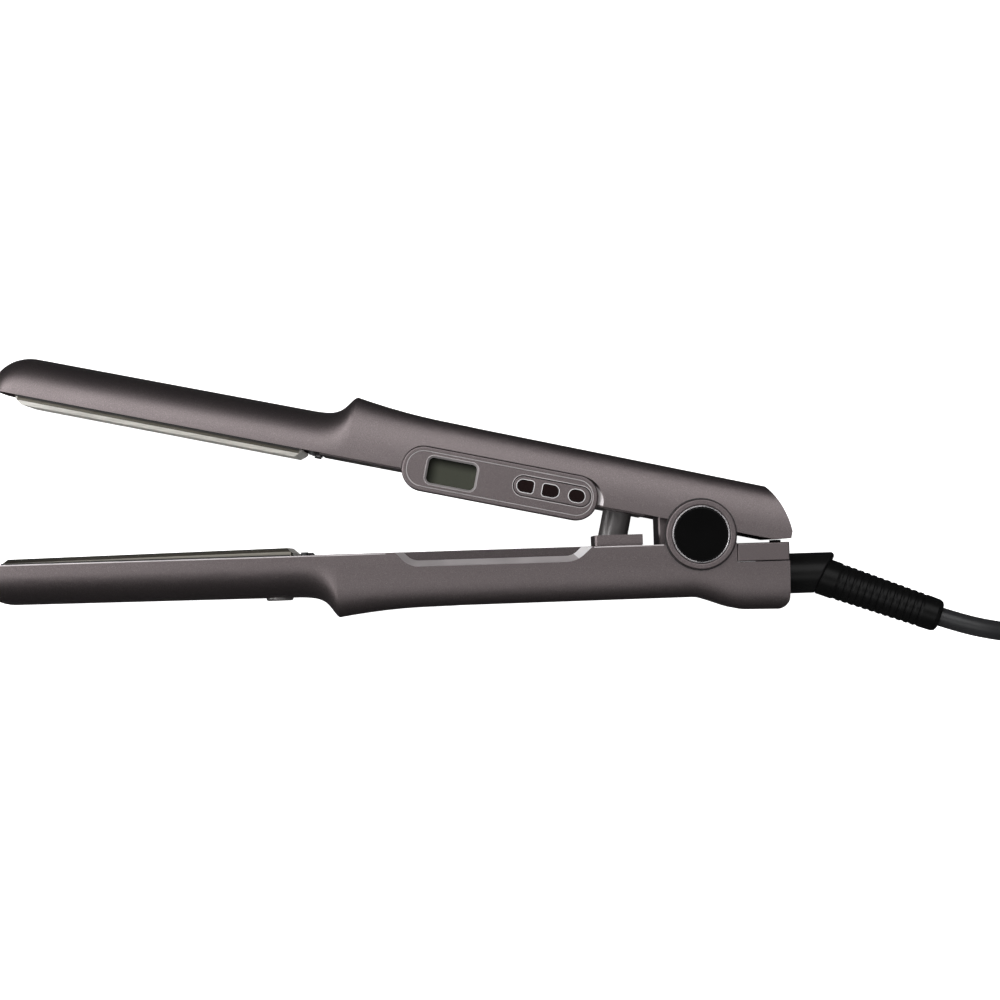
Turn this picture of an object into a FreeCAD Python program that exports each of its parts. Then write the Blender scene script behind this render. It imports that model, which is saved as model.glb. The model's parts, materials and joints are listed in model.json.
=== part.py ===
import FreeCAD, Part
import math
import os

# A salon flat iron lying on its side, open to its stop. Millimetres.
# Row frame: origin on the hinge axis at floor level, +X along the lower arm towards the cord,
# +Y from the lower arm to the upper arm, +Z up to the side that carries the controls.
# Both arms are drawn in arm coordinates: x as in the row, u = distance outwards from the
# closing plane (drawn as +Y), z as in the row. The lower arm is the mirror image in Y, and the
# upper arm is turned open about the hinge.

V = FreeCAD.Vector
ALONG_X = V(1, 0, 0)
ALONG_Y = V(0, 1, 0)
ALONG_Z = V(0, 0, 1)

# ------------------------------------------------------------------ driving sizes
OPEN_ANGLE = 12.6        # between the arms at the open stop, degrees
ARM_WIDTH = 30.0
MID_Z = ARM_WIDTH / 2
WALL = 2.2
PARTING = 3.2            # closing plane to each shell's rim
UPPER_LID_U = 2.7        # closing plane to the face of each handle's lid
LOWER_LID_U = 2.95
NOSE_X = -256.0
NOSE_LENGTH = 13.4       # from the tip to where the barrel is straight
NOSE_TIP_U = 4.8         # the tip's height above the closing plane
TAIL_X = 31.0
HUMP_X = -127.6          # the finger rest, where barrel meets handle
COVER_FRONT_X = -136.8
CORNER_LEAN = 0.4477     # how far a round corner's pole stands from the corner, of its leg
FIT = 0.15               # seam between pieces of one body
RUN = 0.05               # radial running clearance

PLATE_REAR_X = -143.1
PLATE_LENGTH = 102.3     # 4 inch heated plates
PLATE_WIDTH = 25.0       # 1 inch, less the seam
PLATE_FACE_U = 0.15
PLATE_SINK = 1.1         # the lower plate floats this much deeper at its front
PLATE_FRONT_X = PLATE_REAR_X - PLATE_LENGTH
PLATE_TILT = math.degrees(math.atan(PLATE_SINK / PLATE_LENGTH))

PIN_R = 3.0
BUSH_R = 4.5
LUG_R = 11.0
BEZEL_R = 12.35
DISC_R = 9.5
KNUCKLE_Z = (5.0, 25.0)
KNUCKLE_FRONT_X = -14.2
KNUCKLE_DEPTH = 18.0

POST_X = -29.2
POST_R = 5.2
POST_BORE_R = 4.1
POST_END_U = -8.0        # free end, on the far side of the closing plane
SOCKET_X = -29.65        # the block on the lower arm that takes the post
SOCKET_R = 6.05
SOCKET_FLOOR_U = 10.0
SPRING_R = 2.9
SPRING_WIRE_R = 0.45
SPRING_PITCH = 3.2

POD_X = (-107.3, -37.6)
POD_U = (-3.6, 12.4)
POD_CORNER_R = 7.6
POD_BACK_Z = 27.8
POD_TOP_Z = 31.2
WINDOW = (-89.7, 4.4, 17.5, 9.4)      # centre x, centre u, length, height
SURROUND = (-54.0, 5.0, 27.8, 7.4)
KEY_X = (-63.5, -54.5, -45.2)
KEY_U = 5.0
KEY_SIZE = (5.8, 4.3)
RECESS_FLOOR_Z = 27.1
COVER_SCREW_X = (-118.0, -70.0)
BOSS_ROOF_U = 21.8
CARRIER_SCREW_Z = (MID_Z - 6.5, MID_Z + 6.5)
BOARD_SCREW_X = (-97.0, -46.0)

SWIVEL_U = 14.8          # cord outlet axis, in the lower arm
COLLAR_R = 7.2
BOOT_BEND = -23.2        # the boot's bend away from the swivel's axis, degrees
SWIVEL_TURN = 24.5       # how far the swivel is turned about its axis, which lifts the boot
COLLAR_CUT = -32.0       # slope of the collar's slanted end
COLLAR_END = V(46.2, -14.8, MID_Z)
BOOT_START = V(44.0, -15.9, MID_Z)
BOOT_LENGTH = 44.2
BOOT_START_R = 6.7
BOOT_END_R = 5.8
BOOT_RIBS = 13
RIB_DEPTH = 0.25

CORD_D = 6.8
CORD_R = CORD_D / 2
TIE_T = 1.1
COIL_CENTRE = V(180.0, 12.4, 0)   # its outermost turn touches both routes
COIL_MEAN_R = 40.5
COIL_ROW = 5             # turns side by side
COIL_LAYERS = 2
COIL_TOP_Z = TIE_T + COIL_LAYERS * CORD_D

# The cord's route from the boot to the coil, and from the coil to the plug.
LEAD_ROUTE = [
    (81.8, -30.6, 22.2),
    (92.5, -34.6, 23.6),
    (106.0, -37.6, 21.6),
    (122.0, -39.9, 14.6),
    (139.0, -41.6, 7.4),
    (159.0, -42.3, 4.6),
    (180.0, -41.7, 4.5),
]
TAIL_ROUTE = [
    (234.1, 12.4, 11.3),
    (233.4, 31.0, 11.2),
    (226.2, 50.0, 10.0),
    (213.0, 66.0, 8.2),
    (198.5, 75.5, 7.8),
    (184.0, 78.8, 7.8),
]
PLUG_W = 23.0
PLUG_T = 15.0
PLUG_L = 30.0
PLUG_NECK_L = 18.0
BLADE_GAP = 12.7
BLADE_L = 17.0
BLADE_T = 1.5
BLADE_WIDTHS = (6.3, 7.9)


# ------------------------------------------------------------------ helpers
def box(x0, x1, y0, y1, z0, z1):
    return Part.makeBox(x1 - x0, y1 - y0, z1 - z0, V(x0, y0, z0))


def rod(radius, start, end):
    start = V(*start)
    axis = V(*end) - start
    return Part.makeCylinder(radius, axis.Length, start, axis)


def tube(outer, inner, start, end):
    return rod(outer, start, end).cut(rod(inner, start, end))


def fuse(shapes):
    whole = shapes[0]
    for shape in shapes[1:]:
        whole = whole.fuse(shape)
    return whole.removeSplitter()


def prism(edges_or_points, direction):
    """A solid swept along direction from a closed outline of points or edges."""
    if isinstance(edges_or_points[0], FreeCAD.Vector):
        wire = Part.makePolygon(edges_or_points + [edges_or_points[0]])
    else:
        wire = Part.Wire(edges_or_points)
    return Part.Face(wire).extrude(direction)


def line(start, end):
    return Part.LineSegment(start, end).toShape()


def bezier(poles):
    curve = Part.BezierCurve()
    curve.setPoles(poles)
    return curve.toShape()


def quarter(start, corner, end):
    """A quarter of an ellipse from start to end, tangent to both legs of the corner."""
    kappa = 1 - CORNER_LEAN
    return bezier([start, start + (corner - start) * kappa, end + (corner - end) * kappa, end])


def rounded_prism(x_range, u_range, z_range, radius):
    """A box with its four edges along Z rounded."""
    body = box(x_range[0], x_range[1], u_range[0], u_range[1], z_range[0], z_range[1])
    upright = [e for e in body.Edges if abs(e.Vertexes[0].Z - e.Vertexes[1].Z) > 0.01]
    return body.makeFillet(radius, upright)


def centred_prism(centre_x, centre_u, length, height, z_range, radius):
    return rounded_prism(
        (centre_x - length / 2, centre_x + length / 2),
        (centre_u - height / 2, centre_u + height / 2),
        z_range,
        radius,
    )


def lowest_outline(body):
    return min(body.Faces, key=lambda face: face.CenterOfMass.z).OuterWire


def soften_top(body, z, size):
    """Round every edge that lies in the plane at height z."""
    top = [e for e in body.Edges if all(abs(v.Z - z) < 0.001 for v in e.Vertexes)]
    return body.makeFillet(size, top)


def to_lower(shape):
    return shape.mirror(V(0, 0, 0), ALONG_Y)


def to_upper(shape):
    turned = shape.copy()
    turned.rotate(V(0, 0, 0), ALONG_Z, -OPEN_ANGLE)
    return turned


def as_group(shapes):
    return Part.makeCompound(shapes)


# ------------------------------------------------------------------ arm shells
# Each station: x, outer face u, corner size along u, corner size along z. The side of an arm is
# gently crowned: one curve runs from the rim round the corner.
BARREL = [(NOSE_X + NOSE_LENGTH, 17.45, 12.0, 13.0), (-142.0, 17.9, 12.0, 13.0)]
RISE = [
    (-142.0, 17.9, 12.0, 13.0),
    (-138.5, 18.1, 12.0, 12.6),
    (-135.5, 18.6, 11.9, 12.0),
    (-133.0, 19.7, 11.7, 11.2),
    (-130.6, 22.0, 11.3, 10.0),
    (HUMP_X, 25.3, 10.8, 8.6),
]
FALL = [
    (HUMP_X, 25.3, 10.8, 8.6),
    (-123.0, 24.6, 10.4, 8.1),
    (-117.5, 23.9, 10.0, 7.6),
    (-108.0, 23.0, 9.4, 6.9),
    (-96.0, 22.5, 8.9, 6.5),
    (-85.0, 22.3, 8.5, 6.4),
]
UPPER_HANDLE = [(-85.0, 22.3, 8.5, 6.4), (33.0, 21.1, 8.0, 6.4)]
LOWER_HANDLE = [(-85.0, 22.3, 8.5, 6.4), (-3.5, 22.0, 8.4, 6.4)]


def swell_station(share):
    """The lower arm swells smoothly round the cord outlet, between two straight stretches."""
    rise = share * share * (3 - 2 * share)
    return (-3.5 + 19.5 * share, 22.0 + 4.9 * rise, 8.4 + 2.1 * rise, 6.4)


LOWER_SWELL = [swell_station(n / 7) for n in range(8)]
LOWER_TAIL = [(16.0, 26.9, 10.5, 6.4), (32.0, 27.2, 10.5, 6.4)]


def arm_section(station, inset, half=ARM_WIDTH / 2):
    """The D-shaped outline across an arm; an inset one reaches past the rim to open the shell."""
    x, outer, corner_u, corner_z = station
    half = half - inset
    top = outer - inset
    flat = half - (corner_z - inset)
    bend_u = top - CORNER_LEAN * (corner_u - inset)
    bend_z = half - CORNER_LEAN * (corner_z - inset)
    low = PARTING if inset == 0 else PARTING - 4.0
    knee = low if inset == 0 else low + 0.35 * (top - low)
    near = [V(x, knee, MID_Z + half), V(x, bend_u, MID_Z + half),
            V(x, top, MID_Z + bend_z), V(x, top, MID_Z + flat)]
    far = [V(x, top, MID_Z - flat), V(x, top, MID_Z - bend_z),
           V(x, bend_u, MID_Z - half), V(x, knee, MID_Z - half)]
    edges = [bezier(near), line(near[3], far[0]), bezier(far)]
    if inset == 0:
        return Part.Wire(edges + [line(far[3], near[0])])
    rims = [V(x, low, MID_Z - half), V(x, low, MID_Z + half)]
    return Part.Wire(edges + [line(far[3], rims[0]), line(rims[0], rims[1]), line(rims[1], near[0])])


def nose(inset):
    """The barrel's domed end: sections that shrink along an ellipse in height and in width."""
    x0, outer, corner_u, corner_z = BARREL[0]
    wires = []
    steps = 9 if inset == 0 else 7
    for n in range(steps):
        angle = math.radians(10.2 * n)
        reach = math.sin(angle)
        height = outer - (outer - NOSE_TIP_U) * (1 - math.cos(angle))
        half = ARM_WIDTH / 2 * (1 - reach ** 5) ** 0.4
        tall = (height - PARTING) / (outer - PARTING)
        wide = 2 * half / ARM_WIDTH
        station = (x0 - (NOSE_LENGTH - inset) * reach, height, corner_u * tall + inset * (1 - tall),
                   corner_z * wide + inset * (1 - wide))
        wires.append(arm_section(station, inset, half))
    dome = Part.makeLoft(wires, True, False)
    return dome.common(box(NOSE_X - 1, x0 + 1, -6, 30, inset, ARM_WIDTH - inset))


def arm_solid(stretches, inset):
    parts = []
    for stretch in stretches:
        wires = [arm_section(station, inset) for station in stretch]
        parts.append(Part.makeLoft(wires, True, len(stretch) == 2))
    return fuse(parts)


def nose_bevel():
    """The tip's lower edge slants back to the rim."""
    tip = NOSE_X - 1.0
    return prism([V(tip, PARTING - 1, -1), V(NOSE_X + 2.2, PARTING - 1, -1),
                  V(NOSE_X + 1.6, PARTING, -1), V(tip, PARTING + 2.6, -1)],
                 V(0, 0, ARM_WIDTH + 2))


def upper_tail_cutter(inset):
    """The upper arm's tail slopes down in a shallow curve."""
    start = V(19.6 - inset, 21.3 - inset / 2, -5)
    middle = V(26.7 - inset, 15.0 - inset / 2, -5)
    end = V(31.5 - inset, 7.2 - inset / 2, -5)
    return prism([
        Part.Arc(start, middle, end).toShape(),
        line(end, V(end.x, -8, -5)),
        line(V(end.x, -8, -5), V(45, -8, -5)),
        line(V(45, -8, -5), V(45, 40, -5)),
        line(V(45, 40, -5), V(start.x, 40, -5)),
        line(V(start.x, 40, -5), start),
    ], V(0, 0, ARM_WIDTH + 10))


def lower_tail_cutter(inset):
    """The lower arm ends in a square back wall with a rounded outer corner."""
    back = TAIL_X - inset
    top = 27.2 - inset
    bend = 4.5 - inset
    return prism([
        line(V(back, -8, -5), V(back, top - bend, -5)),
        quarter(V(back, top - bend, -5), V(back, top, -5), V(back - bend, top, -5)),
        line(V(back - bend, top, -5), V(back - bend, 40, -5)),
        line(V(back - bend, 40, -5), V(45, 40, -5)),
        line(V(45, 40, -5), V(45, -8, -5)),
        line(V(45, -8, -5), V(back, -8, -5)),
    ], V(0, 0, ARM_WIDTH + 10))


def arm_skin(stretches, tail_cutter, inset):
    return fuse([nose(inset), arm_solid(stretches, inset)]).cut(tail_cutter(inset))


def screw_boss(x, roof_u):
    return tube(3.0, 1.35, (x, 5.2, MID_Z), (x, roof_u, MID_Z))


def bare_shell(stretches, tail_cutter):
    outer = arm_skin(stretches, tail_cutter, 0)
    inner = arm_skin(stretches, tail_cutter, WALL)
    bosses = [screw_boss(x, BOSS_ROOF_U) for x in COVER_SCREW_X]
    return fuse([outer.cut(inner).cut(nose_bevel())] + bosses)


def upper_shell():
    shell = bare_shell([BARREL, RISE, FALL, UPPER_HANDLE], upper_tail_cutter)
    opening = rounded_prism(
        (POD_X[0] - FIT, POD_X[1] + FIT), (POD_U[0] - FIT, POD_U[1] + FIT),
        (POD_BACK_Z - 0.3, ARM_WIDTH + 1), POD_CORNER_R + FIT)
    shell = shell.cut(opening).cut(pod_end_slope())
    heel = prism([V(25.5, 2.5, -1), V(25.5, PARTING, -1), V(33, 5.0, -1), V(33, 2.5, -1)],
                 V(0, 0, ARM_WIDTH + 2))
    shell = shell.cut(heel)
    lugs = [rod(LUG_R, (0, 0, 0), (0, 0, 2.5)),
            rod(LUG_R, (0, 0, ARM_WIDTH - 2.5), (0, 0, ARM_WIDTH))]
    shell = fuse([shell] + lugs)
    for low, high in ((-1, 2.6), (ARM_WIDTH - 2.6, ARM_WIDTH + 1)):
        shell = shell.cut(rod(BUSH_R, (0, 0, low), (0, 0, high)))
    cap_seat = rod(8.0, (0, 0, -1), (0, 0, 1.2))
    return shell.cut(cap_seat)


def pod_end_slope():
    """The upper arm's side slopes down to the pod round the pod's rear end."""
    radius = (POD_U[1] - POD_U[0]) / 2 - 0.01
    mid_u = sum(POD_U) / 2
    wires = []
    for z, out in ((ARM_WIDTH + 0.5, 3.3), (ARM_WIDTH - 0.9, 0.1)):
        end = rounded_prism((-70.0, POD_X[1] + out), (mid_u - radius, mid_u + radius),
                            (z, z + 1), radius - 0.01)
        wires.append(lowest_outline(end))
    return Part.makeLoft(wires, True, True)


def recess_outline(corners, bend, z):
    """The pocket's outline at one height; its two inner corners are rounded over bend."""
    a, b, c, d = [V(x, u, z) for x, u in corners]
    into_b = b + (a - b).normalize() * bend
    from_b = b + (c - b).normalize() * bend
    into_c = c + (b - c).normalize() * bend
    from_c = c + (d - c).normalize() * bend
    return Part.Wire([line(a, into_b), quarter(into_b, b, from_b), line(from_b, into_c),
                      quarter(into_c, c, from_c), line(from_c, d), line(d, a)])


def pod_recess():
    """A sloped-edge pocket in the lower arm's side that the control pod drops into."""
    rim = recess_outline([(-109.6, 1), (-102.6, 8.5), (-43.4, 8.5), (-34.9, 1)], 4.0, 30.5)
    floor = recess_outline([(-106.6, 1), (-101.2, 6.2), (-45.0, 6.2), (-39.6, 1)], 2.4,
                           RECESS_FLOOR_Z)
    return Part.makeLoft([rim, floor], True, True)


def recess_backing(gap, below=0):
    """The thicker wall behind the recess, grown by gap and below where the lid clears it."""
    return box(-112 - gap, -33 + gap, PARTING - below, 11.5, 24.8 - gap, ARM_WIDTH - 1)


def tail_insert_block(gap):
    """The squared block let into the tail, grown by gap on the sides that make its seam."""
    return box(12.7 - gap, TAIL_X + 1, PARTING - 1, 10.0 + gap, -1, ARM_WIDTH + 1)


def outlet_bore(radius):
    return rod(radius, (TAIL_X - 10, SWIVEL_U, MID_Z), (TAIL_X + 5, SWIVEL_U, MID_Z))


def lower_shell():
    shell = bare_shell([BARREL, RISE, FALL, LOWER_HANDLE, LOWER_SWELL, LOWER_TAIL], lower_tail_cutter)
    shell = fuse([shell, recess_backing(0)]).cut(pod_recess())
    shell = shell.cut(tail_insert_block(FIT))
    for low, high in ((-1, 2.9), (ARM_WIDTH - 2.9, ARM_WIDTH + 1)):
        shell = shell.cut(rod(LUG_R + 0.5, (0, 0, low), (0, 0, high)))
    shell = shell.cut(outlet_bore(6.3))
    return shell.cut(rod(4.85, (-149.4, 12, MID_Z), (-149.4, 20, MID_Z)))


# ------------------------------------------------------------------ pieces inside the arms
def inner_cover(face_u, hole):
    """The flat lid over the handle's open side."""
    lid = box(COVER_FRONT_X, -20.4, face_u, face_u + 1.9, WALL + 0.1, ARM_WIDTH - WALL - 0.1)
    for x in COVER_SCREW_X:
        lid = lid.cut(rod(1.6, (x, face_u - 1, MID_Z), (x, face_u + 3, MID_Z)))
        lid = lid.cut(rod(2.8, (x, face_u - 1, MID_Z), (x, face_u + 0.9, MID_Z)))
    return lid.cut(hole)


def lower_inner_cover():
    return inner_cover(LOWER_LID_U, spring_block_hole()).cut(recess_backing(0.1, 2.0))


def cover_screws(face_u):
    screws = []
    for x in COVER_SCREW_X:
        head = rod(2.6, (x, face_u + 0.1, MID_Z), (x, face_u + 0.9, MID_Z))
        shank = rod(1.3, (x, face_u + 0.9, MID_Z), (x, 14.0, MID_Z))
        drive = rod(1.0, (x, face_u, MID_Z), (x, face_u + 0.6, MID_Z))
        screws.append(head.fuse(shank).cut(drive))
    return as_group(screws)


def plate_carrier():
    """The heat-proof cradle in the barrel that the floating plate sinks into."""
    x0 = PLATE_FRONT_X - 0.6
    x1 = COVER_FRONT_X - 0.3
    base = box(x0, x1, 9.0, 10.8, MID_Z - 9.9, MID_Z + 9.9)
    rails = [box(x0, PLATE_REAR_X + 2.4, 5.5, 9.0, MID_Z + z - 0.6, MID_Z + z + 0.6)
             for z in (-11.0, 11.0)]
    feet = [box(x0, PLATE_REAR_X + 0.8, 8.6, 9.5, MID_Z + z - 0.8, MID_Z + z + 0.8)
            for z in (-10.4, 10.4)]
    bridge = box(PLATE_REAR_X + 1.0, x1, 3.6, 5.6, MID_Z - 12.0, MID_Z + 12.0)
    wall = box(PLATE_REAR_X + 1.2, PLATE_REAR_X + 2.4, 5.4, 9.2, MID_Z - 11.0, MID_Z + 11.0)
    nibs = [rod(1.3, (-139.2, 1.9, MID_Z + z), (-139.2, 4.0, MID_Z + z)) for z in (-10.2, 10.2)]
    carrier = fuse([base, bridge, wall] + rails + feet + nibs)
    for z in CARRIER_SCREW_Z:
        carrier = carrier.cut(rod(1.2, (-139.2, 2, z), (-139.2, 12, z)))
    return carrier


def carrier_screws():
    screws = []
    for z in CARRIER_SCREW_Z:
        head = rod(2.0, (-139.2, 2.4, z), (-139.2, 3.6, z))
        shank = rod(1.1, (-139.2, 3.6, z), (-139.2, 11.8, z))
        screws.append(head.fuse(shank).cut(rod(0.8, (-139.2, 2.3, z), (-139.2, 3.0, z))))
    return as_group(screws)


def cushions(sink):
    """Silicone pads between the plate and its cradle, cut to the plate's float."""
    pads = []
    for x in (-228.0, -194.0, -160.0):
        lean = sink * (PLATE_REAR_X - (x - 6.0)) / PLATE_LENGTH
        pads.append(box(x - 6.0, x + 6.0, 6.7 + lean, 9.0, MID_Z - 5.0, MID_Z + 5.0))
    return as_group(pads)


def heated_plate():
    """An aluminium extrusion: bevelled face, plain sides and a heater channel behind."""
    half = PLATE_WIDTH / 2
    side_u = 1.5
    back_u = 3.0
    outline = [
        V(PLATE_FRONT_X, PLATE_FACE_U, MID_Z - half + 1.5),
        V(PLATE_FRONT_X, side_u, MID_Z - half),
        V(PLATE_FRONT_X, back_u, MID_Z - half),
        V(PLATE_FRONT_X, back_u, MID_Z + half),
        V(PLATE_FRONT_X, side_u, MID_Z + half),
        V(PLATE_FRONT_X, PLATE_FACE_U, MID_Z + half - 1.5),
    ]
    face = prism(outline, V(PLATE_LENGTH, 0, 0))
    for x, way in ((PLATE_FRONT_X, 1), (PLATE_REAR_X, -1)):
        wedge = [V(x - way, -1, -1), V(x + 2.2 * way, -1, -1), V(x + 2.2 * way, 0.15, -1),
                 V(x, 2.2, -1), V(x - way, 2.2, -1)]
        face = face.cut(prism(wedge, V(0, 0, ARM_WIDTH + 2)))
    for z, way in ((MID_Z - half, 1), (MID_Z + half, -1)):
        for x, along in ((PLATE_FRONT_X, 1), (PLATE_REAR_X, -1)):
            corner = [V(x - along, -1, z - way), V(x + 0.7 * along, -1, z - way),
                      V(x + 0.7 * along, -1, z), V(x, -1, z + 0.7 * way),
                      V(x - along, -1, z + 0.7 * way)]
            face = face.cut(prism(corner, V(0, 6, 0)))
    channel = box(PLATE_FRONT_X + 1.5, PLATE_REAR_X - 1.5, back_u, 6.6, MID_Z - 9, MID_Z + 9)
    slot = box(PLATE_FRONT_X + 1.0, PLATE_REAR_X, 3.6, 5.6, MID_Z - 7, MID_Z + 7)
    return face.fuse(channel).cut(slot).removeSplitter()


def heater_strip():
    return box(PLATE_FRONT_X + 4, PLATE_REAR_X - 8, 3.65, 5.55, MID_Z - 6.9, MID_Z + 6.9)


def heat_sensor():
    bead = rod(0.9, (PLATE_REAR_X - 7, 4.6, MID_Z), (PLATE_REAR_X - 2.5, 4.6, MID_Z))
    return soften_ends(bead)


def soften_ends(bead):
    return bead.makeFillet(0.4, [e for e in bead.Edges if len(e.Vertexes) == 1])


def float_tilt(shape):
    leaning = shape.copy()
    leaning.rotate(V(PLATE_REAR_X, PLATE_FACE_U, 0), ALONG_Z, -PLATE_TILT)
    return leaning


def leads(x0, x1, u):
    return as_group([rod(0.9, (x0, u, MID_Z + z), (x1, u, MID_Z + z)) for z in (-5.0, 5.0)])


def barrel_foot():
    """A small round cap let into the lower barrel's outer face."""
    cap = rod(4.8, (-149.4, 15.2, MID_Z), (-149.4, 18.8, MID_Z))
    rim = [e for e in cap.Edges if all(abs(v.Y - 18.8) < 0.001 for v in e.Vertexes)]
    return cap.makeFillet(0.7, rim)


# ------------------------------------------------------------------ hinge
def hinge_knuckle():
    """The lower arm's block that stands up into the upper arm and carries the pin."""
    z0, z1 = KNUCKLE_Z
    front = KNUCKLE_FRONT_X
    block = prism([
        line(V(front, -KNUCKLE_DEPTH, z0), V(front, 8.0, z0)),
        line(V(front, 8.0, z0), V(-6.0, 8.0, z0)),
        Part.Arc(V(-6.0, 8.0, z0), V(5.0, 6.6, z0), V(8.2, 0, z0)).toShape(),
        line(V(8.2, 0, z0), V(8.2, -KNUCKLE_DEPTH, z0)),
        line(V(8.2, -KNUCKLE_DEPTH, z0), V(front, -KNUCKLE_DEPTH, z0)),
    ], V(0, 0, z1 - z0))
    block = block.cut(rod(PIN_R + 0.02, (0, 0, z0 - 1), (0, 0, z1 + 1)))
    top_edge = [e for e in block.Edges if all(v.X < front + 0.01 and v.Z > z1 - 0.01
                                              for v in e.Vertexes)]
    block = block.makeChamfer(0.5, top_edge)
    hollow = box(front + 2.2, 6.0, -17.0, -6.0, z0 + 2.2, z1 - 2.2)
    block = block.cut(hollow)
    for z in (-5.0, 5.0):
        passage = rod(1.5, (front - 1, -14.0, MID_Z + z), (9, -14.0, MID_Z + z))
        block = block.cut(passage)
    return block


def hinge_pin():
    return rod(PIN_R, (0, 0, 1.4), (0, 0, ARM_WIDTH - 0.2))


def both_sides(make):
    """A piece by the rear lug and its mirror image by the front lug."""
    rear = make()
    return as_group([rear, rear.mirror(V(0, 0, MID_Z), ALONG_Z)])


def hinge_bush():
    sleeve = rod(BUSH_R, (0, 0, 1.4), (0, 0, 2.6))
    flange = rod(6.5, (0, 0, 2.5), (0, 0, 3.6))
    bore = rod(PIN_R + RUN, (0, 0, 1), (0, 0, 4))
    return sleeve.fuse(flange).cut(bore)


def hinge_washer():
    return tube(6.5, PIN_R + 0.02, (0, 0, 3.7), (0, 0, 4.9))


def hinge_bezel():
    ring = tube(BEZEL_R, DISC_R + 0.6, (0, 0, ARM_WIDTH + 0.2), (0, 0, ARM_WIDTH + 2.2))
    ring = soften_top(ring, ARM_WIDTH + 2.2, 0.6)
    seat = tube(LUG_R - 0.2, DISC_R + 0.6, (0, 0, ARM_WIDTH), (0, 0, ARM_WIDTH + 0.3))
    return ring.fuse(seat)


def hinge_ring():
    ring = tube(DISC_R + 0.6, DISC_R, (0, 0, ARM_WIDTH), (0, 0, ARM_WIDTH + 2.4))
    return soften_top(ring, ARM_WIDTH + 2.4, 0.2)


def hinge_disc():
    disc = rod(DISC_R, (0, 0, ARM_WIDTH), (0, 0, ARM_WIDTH + 2.0))
    return soften_top(disc, ARM_WIDTH + 2.0, 0.4)


def rear_hinge_cap():
    return rod(7.9, (0, 0, 0), (0, 0, 1.15))


# ------------------------------------------------------------------ opening spring
def spring_block():
    """The raised block on the lower arm's lid with the socket that the post slides in."""
    raised = box(-36.9, -20.1, -0.8, LOWER_LID_U, 2.2, 27.4)
    upright = [e for e in raised.Edges
               if all(v.X < -36.8 and v.Z > 27.3 for v in e.Vertexes)]
    raised = raised.makeChamfer(0.7, upright)
    socket = box(-37.6, -22.6, LOWER_LID_U, 11.4, 7.4, 22.6)
    bore = rod(SOCKET_R, (SOCKET_X, -2, MID_Z), (SOCKET_X, SOCKET_FLOOR_U, MID_Z))
    return raised.fuse(socket).cut(bore).removeSplitter()


def spring_block_hole():
    return box(-37.8, -22.4, 0, 12, 7.2, 22.8)


def post_hole():
    return rod(POST_R + 0.1, (POST_X, 0, MID_Z), (POST_X, 8, MID_Z))


def spring_post():
    post = rod(POST_R, (POST_X, POST_END_U, MID_Z), (POST_X, 18.2, MID_Z))
    return post.cut(rod(POST_BORE_R, (POST_X, POST_END_U - 1, MID_Z), (POST_X, 14.0, MID_Z)))


def arm_spring():
    """A compression coil inside the post, from the socket's floor to the post's end wall."""
    low = -15.4
    height = 13.4 - low
    helix = Part.makeLongHelix(SPRING_PITCH, height, SPRING_R, 0)
    profile = Part.Wire(Part.makeCircle(SPRING_WIRE_R, V(SPRING_R, 0, 0), ALONG_Y))
    coil = Part.Wire(helix.Edges).makePipeShell([profile], True, True)
    coil.rotate(V(0, 0, 0), ALONG_X, -90)
    coil.translate(V(POST_X, low, MID_Z))
    return coil


# ------------------------------------------------------------------ control pod
def pod_housing():
    body = rounded_prism(POD_X, POD_U, (POD_BACK_Z, POD_TOP_Z), POD_CORNER_R)
    body = soften_top(body, POD_TOP_Z, 0.7)
    groove_outer = rounded_prism(
        (POD_X[0] + 1.5, POD_X[1] - 1.5), (POD_U[0] + 1.5, POD_U[1] - 1.5),
        (POD_TOP_Z - 0.3, POD_TOP_Z + 1), POD_CORNER_R - 1.5)
    groove_inner = rounded_prism(
        (POD_X[0] + 2.0, POD_X[1] - 2.0), (POD_U[0] + 2.0, POD_U[1] - 2.0),
        (POD_TOP_Z - 0.4, POD_TOP_Z + 1), POD_CORNER_R - 2.0)
    body = body.cut(groove_outer.cut(groove_inner))
    body = body.cut(box(-103, -40, -1.6, 10.6, 28.5, 29.4))
    body = body.cut(box(-103, -40, 4.2, 10.6, POD_BACK_Z - 1, 29.0))
    x, u, length, height = WINDOW
    body = body.cut(centred_prism(x, u, length, height, (29.0, POD_TOP_Z + 1), 2.0))
    body = body.cut(window_slope())
    x, u, length, height = SURROUND
    return body.cut(centred_prism(x, u, length, height, (29.0, POD_TOP_Z + 1), height / 2 - 0.01))


def window_slope():
    """The sloped rim round the display opening."""
    x, u, length, height = WINDOW
    wires = []
    for z, out in ((POD_TOP_Z + 0.1, 1.3), (POD_TOP_Z - 0.9, 0.0)):
        step = centred_prism(x, u, length + out, height + out, (z, z + 1), 2.0 + out / 2)
        wires.append(lowest_outline(step))
    return Part.makeLoft(wires, True, True)


def display_window():
    x, u, length, height = WINDOW
    return centred_prism(x, u, length - 0.1, height - 0.1, (29.5, 29.95), 1.95)


def display_panel():
    x, u, length, height = WINDOW
    return box(x - 10.2, x + 10.2, u - 5.6, u + 5.6, 28.5, 29.4)


def key_outline(index, gap):
    """Left key round on its left, middle key round on its right, right key round all over."""
    x = KEY_X[index]
    length = KEY_SIZE[0] + 2 * gap
    height = KEY_SIZE[1] + 2 * gap
    z_range = (27.2, 31.0)
    if index == 2:
        return centred_prism(x, KEY_U, length - 0.2, height, z_range, height / 2 - 0.05)
    round_side = -1 if index == 0 else 1
    pill = centred_prism(x, KEY_U, length, height, z_range, height / 2 - 0.05)
    square = centred_prism(x - round_side * length / 4, KEY_U, length / 2, height, z_range, 0.9)
    return pill.fuse(square).removeSplitter()


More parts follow.
